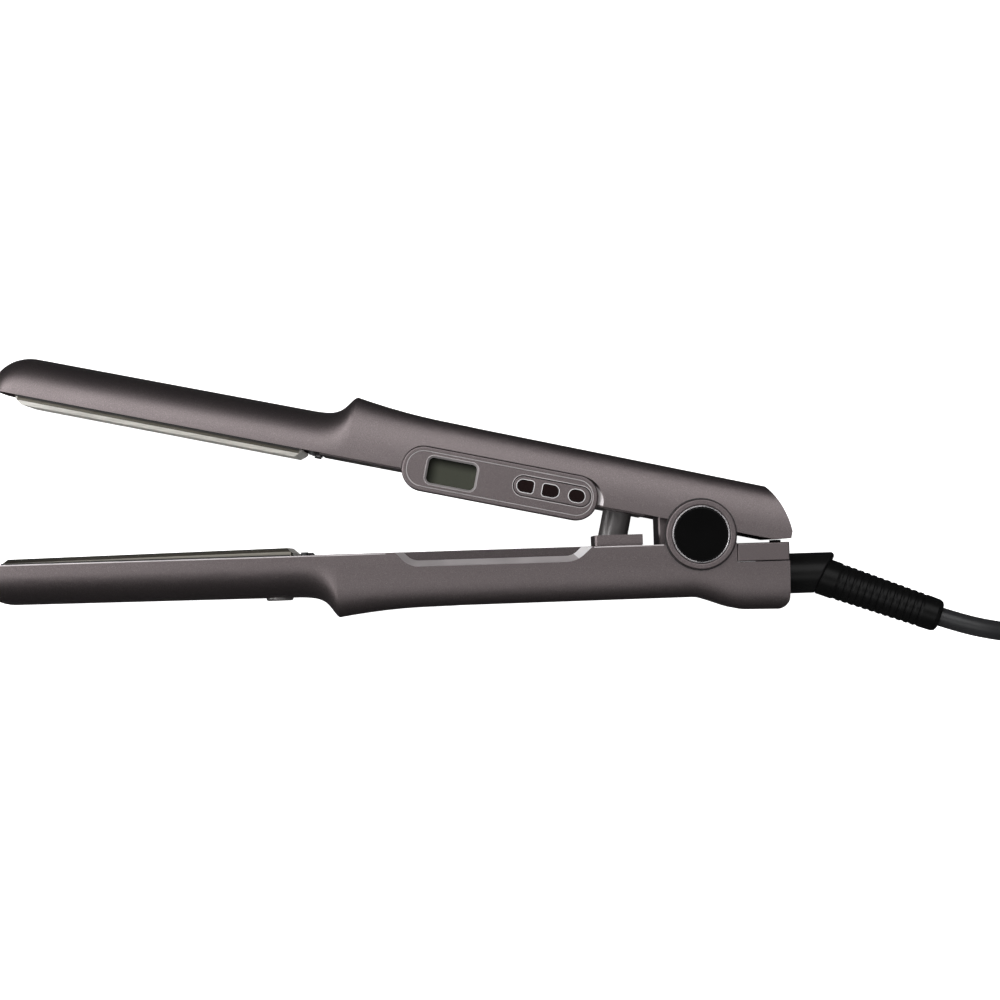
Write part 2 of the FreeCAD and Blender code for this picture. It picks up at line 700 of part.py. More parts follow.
def button_surround():
    x, u, length, height = SURROUND
    plate = centred_prism(x, u, length - 0.5, height - 0.5, (29.45, 30.9), height / 2 - 0.26)
    plate = soften_top(plate, 30.9, 0.3)
    for index in range(len(KEY_X)):
        hole = key_outline(index, 0.3)
        plate = plate.cut(hole)
    return plate


def button(index):
    cap = key_outline(index, 0).common(box(-110, -30, -10, 20, 29.2, 30.9))
    cap = cap.makeChamfer(0.3, [e for e in cap.Edges if all(v.Z > 30.89 for v in e.Vertexes)])
    x = KEY_X[index]
    stem = box(x - 1.2, x + 1.2, 4.8, 6.8, 27.3, 29.3)
    return cap.fuse(stem)


def key_switches():
    switches = []
    for x in KEY_X:
        base = box(x - 2.2, x + 2.2, 4.8, 9.2, 24.9, 26.0)
        dome = rod(1.0, (x, 5.8, 26.0), (x, 5.8, 26.6))
        switches.append(base.fuse(dome))
    return as_group(switches)


def control_board():
    board = box(-101, -42, 5.4, 16.2, 23.3, 24.9)
    for x in BOARD_SCREW_X:
        board = board.cut(rod(1.2, (x, 13.6, 22), (x, 13.6, 26)))
    return board.cut(rod(3.4, (COVER_SCREW_X[1], 5, MID_Z), (COVER_SCREW_X[1], 17, MID_Z)))


def board_screws():
    screws = []
    for x in BOARD_SCREW_X:
        head = rod(2.0, (x, 13.6, 22.1), (x, 13.6, 23.3))
        shank = rod(1.1, (x, 13.6, 23.3), (x, 13.6, 26.6))
        screws.append(head.fuse(shank))
    return as_group(screws)


def board_components():
    processor = box(-84, -74, 6.6, 14.6, 21.9, 23.3)
    switch_device = box(-64, -56, 7.0, 15.0, 19.9, 23.3)
    capacitor = rod(3.0, (-90.5, 10.4, 16.6), (-90.5, 10.4, 23.3))
    return as_group([processor, switch_device, capacitor])


# ------------------------------------------------------------------ tail and cord outlet
def tail_insert():
    block = tail_insert_block(0).common(box(0, TAIL_X, PARTING + 0.3, 12, 0, ARM_WIDTH))
    block = soften_top(block, ARM_WIDTH, 0.5)
    block = block.cut(box(14.6, TAIL_X - WALL, 5.6, 12, WALL, ARM_WIDTH - WALL))
    return block.cut(outlet_bore(6.3)).removeSplitter()


def tail_bumper():
    pad = box(27.0, 29.8, 2.65, PARTING + 0.3, 11.0, 19.0)
    return pad


def swivel_cage():
    frame = box(24.8, TAIL_X - WALL - 0.1, 6.1, 23.4, MID_Z - 9.0, MID_Z + 9.0)
    return frame.cut(rod(6.0 + RUN, (20, SWIVEL_U, MID_Z), (30, SWIVEL_U, MID_Z)))


def swivel_contacts():
    """Two brass leaves that press on the slip rings, each on its own foot."""
    leaves = []
    for x in (13.0, 18.0):
        leaf = box(x - 0.9, x + 0.9, SWIVEL_U - 4.0, SWIVEL_U + 4.0, MID_Z + 4.75, MID_Z + 5.15)
        foot = box(x - 0.9, x + 0.9, SWIVEL_U + 4.0, 24.0, MID_Z + 4.75, MID_Z + 6.2)
        leaves.append(leaf.fuse(foot))
    return as_group(leaves)


def swivel_rings():
    return as_group([
        tube(4.6, 3.5, (x - 1.1, SWIVEL_U, MID_Z), (x + 1.1, SWIVEL_U, MID_Z))
        for x in (13.0, 18.0)
    ])


def turn_swivel(shape):
    """Turns a piece drawn with the boot bent level about the swivel's axis."""
    turned = shape.copy()
    turned.rotate(V(0, -SWIVEL_U, MID_Z), ALONG_X, -SWIVEL_TURN)
    return turned


def beyond_collar():
    """Everything past the collar's slanted end."""
    space = Part.makeBox(90, 120, 120, V(0, -60, -60))
    space.rotate(V(0, 0, 0), ALONG_Z, COLLAR_CUT)
    space.translate(COLLAR_END)
    return space


def swivel_collar():
    """In row coordinates: the turning collar, its flange behind the cage and its core."""
    y = -SWIVEL_U
    sleeve = rod(COLLAR_R, (TAIL_X + 0.3, y, MID_Z), (60, y, MID_Z)).cut(beyond_collar())
    end = [e for e in sleeve.Edges if e.BoundBox.XMax > 40 and len(e.Vertexes) == 1]
    sleeve = sleeve.makeFillet(1.2, end)
    neck = rod(6.0, (22.2, y, MID_Z), (TAIL_X + 0.4, y, MID_Z))
    flange = rod(8.3, (22.2, y, MID_Z), (24.6, y, MID_Z))
    core = rod(3.5, (11.0, y, MID_Z), (22.3, y, MID_Z))
    bore = rod(2.4, (10.0, y, MID_Z), (36.0, y, MID_Z))
    return turn_swivel(fuse([sleeve, neck, flange, core]).cut(bore))


def boot_outline():
    """Half of the boot's lengthwise section: smooth, then ribbed, then a rounded mouth."""
    lead_in = -8.0
    rib_start = 7.0
    pitch = (BOOT_LENGTH - 5.0 - rib_start) / BOOT_RIBS
    outline = [V(lead_in, 0, 0), V(lead_in, BOOT_START_R, 0), V(rib_start - 1, BOOT_START_R, 0)]
    for n in range(BOOT_RIBS):
        x = rib_start + n * pitch
        radius = BOOT_START_R + (BOOT_END_R - BOOT_START_R) * x / BOOT_LENGTH
        outline.append(V(x, radius - RIB_DEPTH, 0))
        outline.append(V(x + 0.2 * pitch, radius - RIB_DEPTH, 0))
        outline.append(V(x + 0.4 * pitch, radius, 0))
        outline.append(V(x + 0.85 * pitch, radius, 0))
    outline.append(V(BOOT_LENGTH - 1.6, BOOT_END_R, 0))
    outline.append(V(BOOT_LENGTH - 0.5, BOOT_END_R - 0.5, 0))
    outline.append(V(BOOT_LENGTH, BOOT_END_R - 1.4, 0))
    outline.append(V(BOOT_LENGTH, 3.9, 0))
    outline.append(V(BOOT_LENGTH - 7.0, 3.9, 0))
    outline.append(V(BOOT_LENGTH - 7.0, 0, 0))
    return outline


def cord_boot():
    """A tapered strain relief with rings moulded round it, cut to the collar's slanted end."""
    outline = boot_outline()
    boot = Part.Face(Part.makePolygon(outline + [outline[0]])).revolve(V(0, 0, 0), ALONG_X, 360)
    boot = Part.Solid(boot.Shells[0])
    boot.rotate(V(0, 0, 0), ALONG_Z, BOOT_BEND)
    boot.translate(BOOT_START)
    return turn_swivel(boot.common(beyond_collar()))


# ------------------------------------------------------------------ cord
def cord_path(route):
    """Straight runs joined by tangent arcs, each as large as its two runs allow."""
    points = [V(*p) for p in route]
    edges = []
    radii = []
    here = points[0]
    for before, corner, after in zip(points, points[1:], points[2:]):
        into = (corner - before).normalize()
        out = (after - corner).normalize()
        turn = into.getAngle(out)
        shorter = min((corner - before).Length, (after - corner).Length)
        reach = 0.45 * shorter
        radius = reach / math.tan(turn / 2)
        radii.append(radius)
        start = corner - into * reach
        end = corner + out * reach
        inward = (out - into).normalize()
        sagitta = radius / math.cos(turn / 2) - radius
        edges.append(line(here, start))
        edges.append(Part.Arc(start, corner + inward * sagitta, end).toShape())
        here = end
    edges.append(line(here, points[-1]))
    return Part.Wire(edges), radii


def cord_tube(name, route):
    path, radii = cord_path(route)
    first = path.Edges[0]
    start = first.valueAt(first.FirstParameter)
    heading = V(*route[1]) - V(*route[0])
    section = Part.Wire(Part.makeCircle(CORD_R, start, heading))
    solid = path.makePipeShell([section], True, False)
    expected = math.pi * CORD_R ** 2 * path.Length
    print(name, "arc radii", [round(r) for r in radii], "length", round(path.Length, 1),
          "volume ratio", round(solid.Volume / expected, 4))
    return solid


def cord_coil():
    half_width = COIL_ROW * CORD_D / 2
    section = [
        V(COIL_MEAN_R - half_width, 0, TIE_T),
        V(COIL_MEAN_R + half_width, 0, TIE_T),
        V(COIL_MEAN_R + half_width, 0, COIL_TOP_Z),
        V(COIL_MEAN_R - half_width, 0, COIL_TOP_Z),
    ]
    ring = Part.Face(Part.makePolygon(section + [section[0]])).revolve(V(0, 0, 0), ALONG_Z, 360)
    ring.translate(COIL_CENTRE)
    return ring


def cord_tie():
    """A strap once round the bundle of turns."""
    half_width = COIL_ROW * CORD_D / 2
    near = COIL_MEAN_R - half_width - 1.2
    far = COIL_MEAN_R + half_width + 0.2
    outer = box(near - 1.0, far + 1.0, -6.5, 6.5, 0, COIL_TOP_Z + 1.1)
    inner = box(near, far, -7.0, 7.0, TIE_T - 0.1, COIL_TOP_Z + 0.1)
    band = outer.cut(inner)
    band.rotate(V(0, 0, 0), ALONG_Z, 150)
    band.translate(COIL_CENTRE)
    return band


# ------------------------------------------------------------------ mains plug
def plug_place(shape):
    """The plug is drawn along +X from the cord's end and laid where the tail route ends."""
    end = V(*TAIL_ROUTE[-1])
    before = V(*TAIL_ROUTE[-2])
    placed = shape.copy()
    placed.rotate(V(0, 0, 0), ALONG_Z, math.degrees(math.atan2(end.y - before.y, end.x - before.x)))
    placed.translate(V(end.x, end.y, PLUG_T / 2 + 0.3))
    return placed


def plug_body():
    neck = Part.makeCone(4.6, 6.4, PLUG_NECK_L, V(0, 0, 0), ALONG_X)
    x0 = PLUG_NECK_L
    block = box(x0, x0 + PLUG_L, -PLUG_W / 2, PLUG_W / 2, -PLUG_T / 2, PLUG_T / 2)
    lengthwise = [e for e in block.Edges if abs(e.Vertexes[0].X - e.Vertexes[1].X) > 0.01]
    block = block.makeFillet(4.0, lengthwise)
    return plug_place(neck.fuse(block))


def plug_blades():
    x0 = PLUG_NECK_L + PLUG_L
    blades = []
    for side, width in zip((-1, 1), BLADE_WIDTHS):
        y = side * BLADE_GAP / 2
        blade = box(x0, x0 + BLADE_L, y - BLADE_T / 2, y + BLADE_T / 2, -width / 2, width / 2)
        hole = rod(1.6, (x0 + BLADE_L - 4.6, y - 2, 0), (x0 + BLADE_L - 4.6, y + 2, 0))
        blades.append(plug_place(blade.cut(hole)))
    return as_group(blades)


# ------------------------------------------------------------------ all nodes
def lower_arm():
    return {
        "lower_shell": lower_shell(),
        "lower_inner_cover": lower_inner_cover(),
        "lower_cover_screws": cover_screws(LOWER_LID_U),
        "lower_plate_carrier": plate_carrier(),
        "lower_carrier_screws": carrier_screws(),
        "lower_cushions": cushions(PLATE_SINK),
        "lower_foot": barrel_foot(),
        "lower_leads": leads(-140.0, 9.5, 14.0),
        "lower_plate": float_tilt(heated_plate()),
        "lower_heater": float_tilt(heater_strip()),
        "thermal_fuse": float_tilt(heat_sensor()),
        "spring_block": spring_block(),
        "tail_insert": tail_insert(),
        "tail_bumper": tail_bumper(),
        "swivel_cage": swivel_cage(),
        "swivel_contacts": swivel_contacts(),
        "swivel_rings": swivel_rings(),
    }


def upper_arm():
    return {
        "upper_shell": upper_shell(),
        "upper_inner_cover": inner_cover(UPPER_LID_U, post_hole()),
        "upper_cover_screws": cover_screws(UPPER_LID_U),
        "upper_plate_carrier": plate_carrier(),
        "upper_carrier_screws": carrier_screws(),
        "upper_cushions": cushions(0),
        "upper_leads": leads(-140.0, -102.0, 13.0),
        "upper_plate": heated_plate(),
        "upper_heater": heater_strip(),
        "heat_sensor": heat_sensor(),
        "spring_post": spring_post(),
        "arm_spring": arm_spring(),
        "pod_housing": pod_housing(),
        "display_window": display_window(),
        "display_panel": display_panel(),
        "button_surround": button_surround(),
        "button_minus": button(0),
        "button_plus": button(1),
        "button_power": button(2),
        "key_switches": key_switches(),
        "control_board": control_board(),
        "board_screws": board_screws(),
        "board_components": board_components(),
        "hinge_bushes": both_sides(hinge_bush),
        "hinge_bezel": hinge_bezel(),
        "hinge_ring": hinge_ring(),
        "hinge_disc": hinge_disc(),
        "rear_hinge_cap": rear_hinge_cap(),
    }


def row_pieces():
    """Pieces drawn directly in the row frame."""
    return {
        "hinge_knuckle": hinge_knuckle(),
        "hinge_pin": hinge_pin(),
        "hinge_washers": both_sides(hinge_washer),
        "swivel_collar": swivel_collar(),
        "cord_boot": cord_boot(),
        "cord_lead": cord_tube("cord_lead", LEAD_ROUTE),
        "cord_coil": cord_coil(),
        "cord_tail": cord_tube("cord_tail", TAIL_ROUTE),
        "cord_tie": cord_tie(),
        "plug_body": plug_body(),
        "plug_blades": plug_blades(),
    }


def main():
    os.makedirs("parts", exist_ok=True)
    nodes = {name: to_lower(shape) for name, shape in lower_arm().items()}
    nodes.update({name: to_upper(shape) for name, shape in upper_arm().items()})
    nodes.update(row_pieces())
    for name, shape in nodes.items():
        solids = shape.Solids
        sound = shape.isValid() and len(solids) > 0 and all(s.isClosed() for s in solids)
        print(f"{name:22} solids {len(solids)}  volume {shape.Volume / 1000:8.2f} cm3  "
              f"{'ok' if sound else 'UNSOUND'}")
        whole = solids[0] if len(solids) == 1 else Part.makeCompound(solids)
        whole.exportStep(f"parts/{name}.step")


main()
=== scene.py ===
import math
import json

import bpy
import bmesh
from mathutils import Matrix, Vector


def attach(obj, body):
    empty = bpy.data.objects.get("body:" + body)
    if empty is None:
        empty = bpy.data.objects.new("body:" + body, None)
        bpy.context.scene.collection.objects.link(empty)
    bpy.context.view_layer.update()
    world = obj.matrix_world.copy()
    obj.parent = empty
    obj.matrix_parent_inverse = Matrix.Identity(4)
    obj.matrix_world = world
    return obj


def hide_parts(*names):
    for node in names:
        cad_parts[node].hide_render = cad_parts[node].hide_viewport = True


# The looks of a salon flat iron that lies on its side. Metres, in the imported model's frame.

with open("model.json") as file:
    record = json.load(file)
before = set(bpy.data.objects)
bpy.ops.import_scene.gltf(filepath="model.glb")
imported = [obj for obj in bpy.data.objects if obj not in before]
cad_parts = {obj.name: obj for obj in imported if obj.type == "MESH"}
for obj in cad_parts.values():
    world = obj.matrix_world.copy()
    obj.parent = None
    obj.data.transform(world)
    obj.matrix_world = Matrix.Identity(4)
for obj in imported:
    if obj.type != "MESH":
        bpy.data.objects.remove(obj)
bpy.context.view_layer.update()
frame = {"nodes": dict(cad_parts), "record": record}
NODES = frame["nodes"]

MM = 0.001
OPEN_ANGLE = math.radians(12.6)


# ------------------------------------------------------------------ camera
def look_from(place, target, up):
    back = (place - target).normalized()
    right = up.cross(back).normalized()
    true_up = back.cross(right)
    turn = Matrix((right, true_up, back)).transposed().to_4x4()
    return Matrix.Translation(place) @ turn


def make_camera():
    """Looks down on the iron, which lies a little turned in the picture."""
    roll = math.radians(1.8)
    data = bpy.data.cameras.new("camera")
    data.sensor_width = 36
    data.lens = 63.8
    camera = bpy.data.objects.new("camera", data)
    bpy.context.scene.collection.objects.link(camera)
    place = Vector((-76.6, -7.7, 650)) * MM
    target = Vector((-69.9, 14.2, 30)) * MM
    camera.matrix_world = look_from(place, target, Vector((math.sin(roll), math.cos(roll), 0)))
    bpy.context.scene.camera = camera


# ------------------------------------------------------------------ materials
def new_material(name):
    material = bpy.data.materials.new(name)
    material.use_nodes = True
    tree = material.node_tree
    shader = tree.nodes["Principled BSDF"]
    return material, tree, shader


def add(tree, kind, **inputs):
    node = tree.nodes.new(kind)
    for name, value in inputs.items():
        node.inputs[name.replace("_", " ")].default_value = value
    return node


def object_noise(tree, scale, detail=2.0, stretch=(1, 1, 1)):
    """Noise fixed to the piece's own coordinates."""
    place = tree.nodes.new("ShaderNodeTexCoord")
    mapping = tree.nodes.new("ShaderNodeMapping")
    mapping.inputs["Scale"].default_value = stretch
    tree.links.new(place.outputs["Object"], mapping.inputs["Vector"])
    noise = add(tree, "ShaderNodeTexNoise", Scale=scale, Detail=detail)
    tree.links.new(mapping.outputs["Vector"], noise.inputs["Vector"])
    return noise.outputs["Fac"]


def ramp(tree, factor, stops):
    node = tree.nodes.new("ShaderNodeValToRGB")
    band = node.color_ramp
    while len(band.elements) < len(stops):
        band.elements.new(0.5)
    for element, (place, colour) in zip(band.elements, stops):
        element.position = place
        element.color = (*colour, 1)
    tree.links.new(factor, node.inputs["Fac"])
    return node.outputs["Color"]


def grey_ramp(tree, factor, low, high):
    node = tree.nodes.new("ShaderNodeMapRange")
    node.inputs["To Min"].default_value = low
    node.inputs["To Max"].default_value = high
    tree.links.new(factor, node.inputs["Value"])
    return node.outputs["Result"]


def bump(tree, shader, height, strength, distance):
    node = add(tree, "ShaderNodeBump", Strength=strength, Distance=distance)
    tree.links.new(height, node.inputs["Height"])
    tree.links.new(node.outputs["Normal"], shader.inputs["Normal"])


def shade(colour, factor):
    return tuple(c * factor for c in colour)


def pearl_lacquer(name, colour, roughness):
    """Metallic flake lacquer: fine glitter in colour and bump under a thin clear coat."""
    material, tree, shader = new_material(name)
    flake = object_noise(tree, 5200, 1.0)
    cloud = object_noise(tree, 55, 2.0)
    tone = ramp(tree, flake, [(0.30, shade(colour, 0.82)), (0.55, colour), (0.75, shade(colour, 1.5))])
    tree.links.new(tone, shader.inputs["Base Color"])
    tree.links.new(grey_ramp(tree, cloud, roughness - 0.03, roughness + 0.03),
                   shader.inputs["Roughness"])
    shader.inputs["Metallic"].default_value = 0.97
    shader.inputs["Coat Weight"].default_value = 0.12
    shader.inputs["Coat Roughness"].default_value = 0.3
    bump(tree, shader, flake, 0.12, 0.00004)
    return material


def moulded(name, colour, roughness, grain=2600, depth=0.15, metallic=0.0, coat=0.0, specular=0.5):
    """Moulded plastic or rubber with a fine spark-eroded grain."""
    material, tree, shader = new_material(name)
    fine = object_noise(tree, grain, 3.0)
    broad = object_noise(tree, 70, 2.0)
    tone = ramp(tree, broad, [(0.3, shade(colour, 0.85)), (0.7, shade(colour, 1.15))])
    tree.links.new(tone, shader.inputs["Base Color"])
    tree.links.new(grey_ramp(tree, fine, roughness - 0.05, roughness + 0.05),
                   shader.inputs["Roughness"])
    shader.inputs["Metallic"].default_value = metallic
    shader.inputs["Coat Weight"].default_value = coat
    shader.inputs["Specular IOR Level"].default_value = specular
    bump(tree, shader, fine, depth, 0.00006)
    return material


def metal(name, colour, roughness, stretch=(1, 1, 1), depth=0.05, scale=900):
    """Metal with a drawn or brushed grain along one direction."""
    material, tree, shader = new_material(name)
    grain = object_noise(tree, scale, 3.0, stretch)
    tone = ramp(tree, grain, [(0.3, shade(colour, 0.9)), (0.7, shade(colour, 1.1))])
    tree.links.new(tone, shader.inputs["Base Color"])
    tree.links.new(grey_ramp(tree, grain, roughness - 0.04, roughness + 0.04),
                   shader.inputs["Roughness"])
    shader.inputs["Metallic"].default_value = 1.0
    bump(tree, shader, grain, depth, 0.00002)
    return material


def arm_coordinates(tree, turn):
    """Splits object coordinates into the directions of an arm that is turned by an angle."""
    place = tree.nodes.new("ShaderNodeTexCoord")
    mapping = tree.nodes.new("ShaderNodeMapping")
    mapping.inputs["Rotation"].default_value = (0, 0, turn)
    tree.links.new(place.outputs["Object"], mapping.inputs["Vector"])
    split = tree.nodes.new("ShaderNodeSeparateXYZ")
    tree.links.new(mapping.outputs["Vector"], split.inputs["Vector"])
    return split.outputs


def plate_tints_painted_light(name, face, bevel, side):
    """The heated plates: the tint differs between the polished face, the bevel and the sides, chosen
    by each face's tilt; the bevel and side tints are painted reflection and painted shade, so each
    plate has its own copy.
    """
    material, tree, shader = new_material(name)
    place = tree.nodes.new("ShaderNodeTexCoord")
    split = tree.nodes.new("ShaderNodeSeparateXYZ")
    tree.links.new(place.outputs["Normal"], split.inputs["Vector"])
    height = tree.nodes.new("ShaderNodeMath")
    height.operation = "ABSOLUTE"
    tree.links.new(split.outputs["Z"], height.inputs[0])
    grain = object_noise(tree, 700, 3.0, (0.03, 1, 1))
    # Painted reflection and painted shade: the bevel and side colours stand in for the light each
    # plate's bevel and side catch.
    base = ramp(tree, height.outputs["Value"], [(0.0, face), (0.35, bevel), (0.9, side)])
    base.node.color_ramp.interpolation = "CONSTANT"
    mix = tree.nodes.new("ShaderNodeMixRGB")
    mix.blend_type = "MULTIPLY"
    mix.inputs["Fac"].default_value = 1.0
    tree.links.new(base, mix.inputs["Color1"])
    tree.links.new(ramp(tree, grain, [(0.3, (0.86, 0.86, 0.86)), (0.7, (1.1, 1.1, 1.1))]),
                   mix.inputs["Color2"])
    tree.links.new(mix.outputs["Color"], shader.inputs["Base Color"])
    tree.links.new(grey_ramp(tree, grain, 0.26, 0.34), shader.inputs["Roughness"])
    shader.inputs["Metallic"].default_value = 0.6
    bump(tree, shader, grain, 0.05, 0.00002)
    return material


def display_lens(name, colour):
    """A smoked lens over an unlit display, with a painted shadow from the wall of its recess: darker
    towards its far and left edges.
    """
    material, tree, shader = new_material(name)
    along = arm_coordinates(tree, OPEN_ANGLE)
    shares = []
    for axis, start, end in (("X", -98.8, -93.5), ("Y", 9.4, 5.2)):
        share = tree.nodes.new("ShaderNodeMapRange")
        share.interpolation_type = "SMOOTHSTEP"
        share.inputs["From Min"].default_value = start * MM
        share.inputs["From Max"].default_value = end * MM
        tree.links.new(along[axis], share.inputs["Value"])
        shares.append(share.outputs["Result"])
    painted_shadow_share = tree.nodes.new("ShaderNodeMath")
    painted_shadow_share.operation = "MULTIPLY"
    tree.links.new(shares[0], painted_shadow_share.inputs[0])
    tree.links.new(shares[1], painted_shadow_share.inputs[1])
    # Painted shadow: the lens darkens to a twentieth of its colour at its far and left edges.
    tone = ramp(tree, painted_shadow_share.outputs["Value"], [(0.0, shade(colour, 0.05)), (1.0, colour)])
    tree.links.new(tone, shader.inputs["Base Color"])
    shader.inputs["Roughness"].default_value = 0.14
    shader.inputs["Specular IOR Level"].default_value = 0.12
    bump(tree, shader, object_noise(tree, 300, 2.0), 0.01, 0.00006)
    return material


def woven(name, colour):
    """A woven strap: two crossed sets of threads."""
    material, tree, shader = new_material(name)
    place = tree.nodes.new("ShaderNodeTexCoord")
    heights = []
    for turn in (45, -45):
        mapping = tree.nodes.new("ShaderNodeMapping")
        mapping.inputs["Rotation"].default_value = (0, 0, math.radians(turn))
        tree.links.new(place.outputs["Object"], mapping.inputs["Vector"])
        wave = add(tree, "ShaderNodeTexWave", Scale=420.0, Distortion=0.4)
        tree.links.new(mapping.outputs["Vector"], wave.inputs["Vector"])
        heights.append(wave.outputs["Fac"])
    mix = tree.nodes.new("ShaderNodeMath")
    mix.operation = "MULTIPLY"
    tree.links.new(heights[0], mix.inputs[0])
    tree.links.new(heights[1], mix.inputs[1])
    tone = ramp(tree, mix.outputs["Value"], [(0.0, shade(colour, 0.5)), (0.6, shade(colour, 1.6))])
    tree.links.new(tone, shader.inputs["Base Color"])
    shader.inputs["Roughness"].default_value = 0.85
    bump(tree, shader, mix.outputs["Value"], 0.5, 0.0002)
    return material


PEARL = (0.150, 0.128, 0.130)
PLATE_FACE = (0.66, 0.64, 0.60)
MATERIALS = {
    "pearl_lacquer": pearl_lacquer("pearl_lacquer", PEARL, 0.43),
    # A lighter copy of the pearl lacquer; on the trims below it is painted highlight on edges and
    # bevels.
    "bright_lacquer": moulded("bright_lacquer", (0.42, 0.39, 0.395), 0.38, 2200, 0.1, metallic=0.35),
    # A darker copy of the pearl lacquer; on the pocket's floor it is painted shade.
    "dark_lacquer": pearl_lacquer("dark_lacquer", shade(PEARL, 0.55), 0.43),
    # Silver of the key rims; on the pocket's end bevel it is painted highlight.
    "rim_silver": moulded("rim_silver", (0.80, 0.78, 0.79), 0.3, 1500, 0.05, metallic=0.4),
    "rear_cap": pearl_lacquer("rear_cap_lacquer", shade(PEARL, 0.9), 0.4),
    # Upper plate: painted reflection makes its bevel as pale as its face, painted shade darkens its
    # side. Lower plate: painted reflection darkens its bevel, a painted sheen lightens its side.
    "titanium": plate_tints_painted_light("painted_light_plate", PLATE_FACE, PLATE_FACE, (0.085, 0.078, 0.064)),
    "painted_light_lower_plate": plate_tints_painted_light("painted_light_lower_plate", PLATE_FACE, (0.05, 0.046, 0.038),
                                  (0.26, 0.245, 0.21)),
    "heat_proof_plastic": moulded("heat_proof_plastic", (0.03, 0.03, 0.032), 0.55),
    "silicone": moulded("silicone", (0.35, 0.10, 0.06), 0.5, 900),
    "ceramic_heater": moulded("ceramic_heater", (0.75, 0.73, 0.68), 0.45, 1500),
    "steel": metal("plated_steel", (0.55, 0.55, 0.56), 0.28),
    "brass": metal("brass", (0.80, 0.58, 0.26), 0.24),
    "nylon": moulded("nylon", (0.70, 0.68, 0.62), 0.45),
    "smoked_gloss": moulded("smoked_plastic", (0.10, 0.094, 0.094), 0.32, 500, 0.004, 0.4, 0.2),
    "black_gloss": moulded("black_gloss", (0.003, 0.003, 0.003), 0.08, 400, 0.01, specular=0.12),
    "key_gloss": moulded("key_gloss", (0.009, 0.005, 0.005), 0.14, 400, 0.01, specular=0.25),
    "chrome": metal("chrome", (0.54, 0.52, 0.53), 0.26, depth=0.003, scale=250),
    "display_lens": display_lens("display_lens", (0.044, 0.046, 0.036)),
    "display_glass": moulded("display_glass", (0.10, 0.11, 0.09), 0.25, 300, 0.01),
    "board": moulded("circuit_board", (0.02, 0.10, 0.04), 0.35),
    "wire_sleeve": moulded("wire_sleeve", (0.6, 0.57, 0.5), 0.7, 3000, 0.4),
    # Dark silicone; the strips in gaps and grooves below that use it are painted shade.
    "gasket": moulded("gasket_silicone", (0.018, 0.016, 0.016), 0.6),
    "bumper_rubber": moulded("bumper_rubber", (0.012, 0.012, 0.012), 0.65),
    "swivel_plastic": moulded("swivel_plastic", (0.004, 0.004, 0.004), 0.38, 1800, 0.1, specular=0.15),
    "boot_rubber": moulded("boot_rubber", (0.003, 0.003, 0.003), 0.36, 1500, 0.12, specular=0.12),
    "cord_rubber": moulded("cord_rubber", (0.014, 0.014, 0.015), 0.40, 1200, 0.2),
    "tie_fabric": woven("tie_fabric", (0.02, 0.02, 0.022)),
}
SLOT_OF = {row["node"]: row["material_slot"] for row in frame["record"]["subparts"]}


def paint(obj, slot):
    obj.data.materials.clear()
    obj.data.materials.append(MATERIALS[slot])


def paint_cad_nodes():
    for name, obj in NODES.items():
        paint(obj, SLOT_OF[name])
    # The lower plate takes its own painted reflection and painted sheen.
    paint(NODES["lower_plate"], "painted_light_lower_plate")
    for name in KEYS:
        paint(NODES["button_" + name], "key_gloss")


# ------------------------------------------------------------------ cord
CORD_R = 3.4
COIL_CENTRE = (180.0, 12.4)
COIL_MEAN_R = 40.5
COIL_ROW = 5
COIL_STEPS = 16
COIL_Z = (4.5, 11.3)
COIL_TURNS = 9.25
LEAD_ROUTE = [
    (81.8, -30.6, 22.2),
    (92.5, -34.6, 23.6),
    (106.0, -37.6, 21.6),
    (122.0, -39.9, 14.6),
    (139.0, -41.6, 7.4),
    (159.0, -42.3, 4.6),
    (180.0, -41.7, 4.5),
]
TAIL_ROUTE = [
    (234.1, 12.4, 11.3),
    (233.4, 31.0, 11.2),
    (226.2, 50.0, 10.0),
    (213.0, 66.0, 8.2),
    (198.5, 75.5, 7.8),
    (184.0, 78.8, 7.8),
]


def turn_place(turn):
    """Radius and height of a whole turn: inwards along the bottom row, outwards on top."""
    row, step = divmod(turn, COIL_ROW)
    place = COIL_ROW - 1 - step if row == 0 else step
    return COIL_MEAN_R + (place - (COIL_ROW - 1) / 2) * 2 * CORD_R, COIL_Z[row]


def coil_points():
    points = []
    for n in range(1, int(COIL_TURNS * COIL_STEPS)):
        turn, step = divmod(n, COIL_STEPS)
        here = turn_place(turn)
        after = turn_place(min(turn + 1, 2 * COIL_ROW - 1))
        share = max(0.0, (step / COIL_STEPS - 0.75) / 0.25)
        share = share * share * (3 - 2 * share)
        radius = here[0] + (after[0] - here[0]) * share
        z = here[1] + (after[1] - here[1]) * share
        angle = 2 * math.pi * (n / COIL_STEPS - 0.25)
        points.append((COIL_CENTRE[0] + radius * math.cos(angle),
                       COIL_CENTRE[1] + radius * math.sin(angle), z))
    return points


def make_cord():
    route = LEAD_ROUTE + coil_points() + TAIL_ROUTE
    curve = bpy.data.curves.new("mains_cord", "CURVE")
    curve.dimensions = "3D"
    spline = curve.splines.new("NURBS")
    spline.points.add(len(route) - 1)
    for point, place in zip(spline.points, route):
        point.co = (*(c * MM for c in place), 1)
    spline.order_u = 3
    spline.use_endpoint_u = True
    curve.resolution_u = 6
    curve.bevel_depth = CORD_R * MM
    curve.bevel_resolution = 6
    curve.use_fill_caps = True
    cord = bpy.data.objects.new("mains_cord", curve)
    bpy.context.scene.collection.objects.link(cord)
    cord.data.materials.append(MATERIALS["cord_rubber"])
    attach(cord, "cord_swivel")
    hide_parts("cord_lead", "cord_coil", "cord_tail")


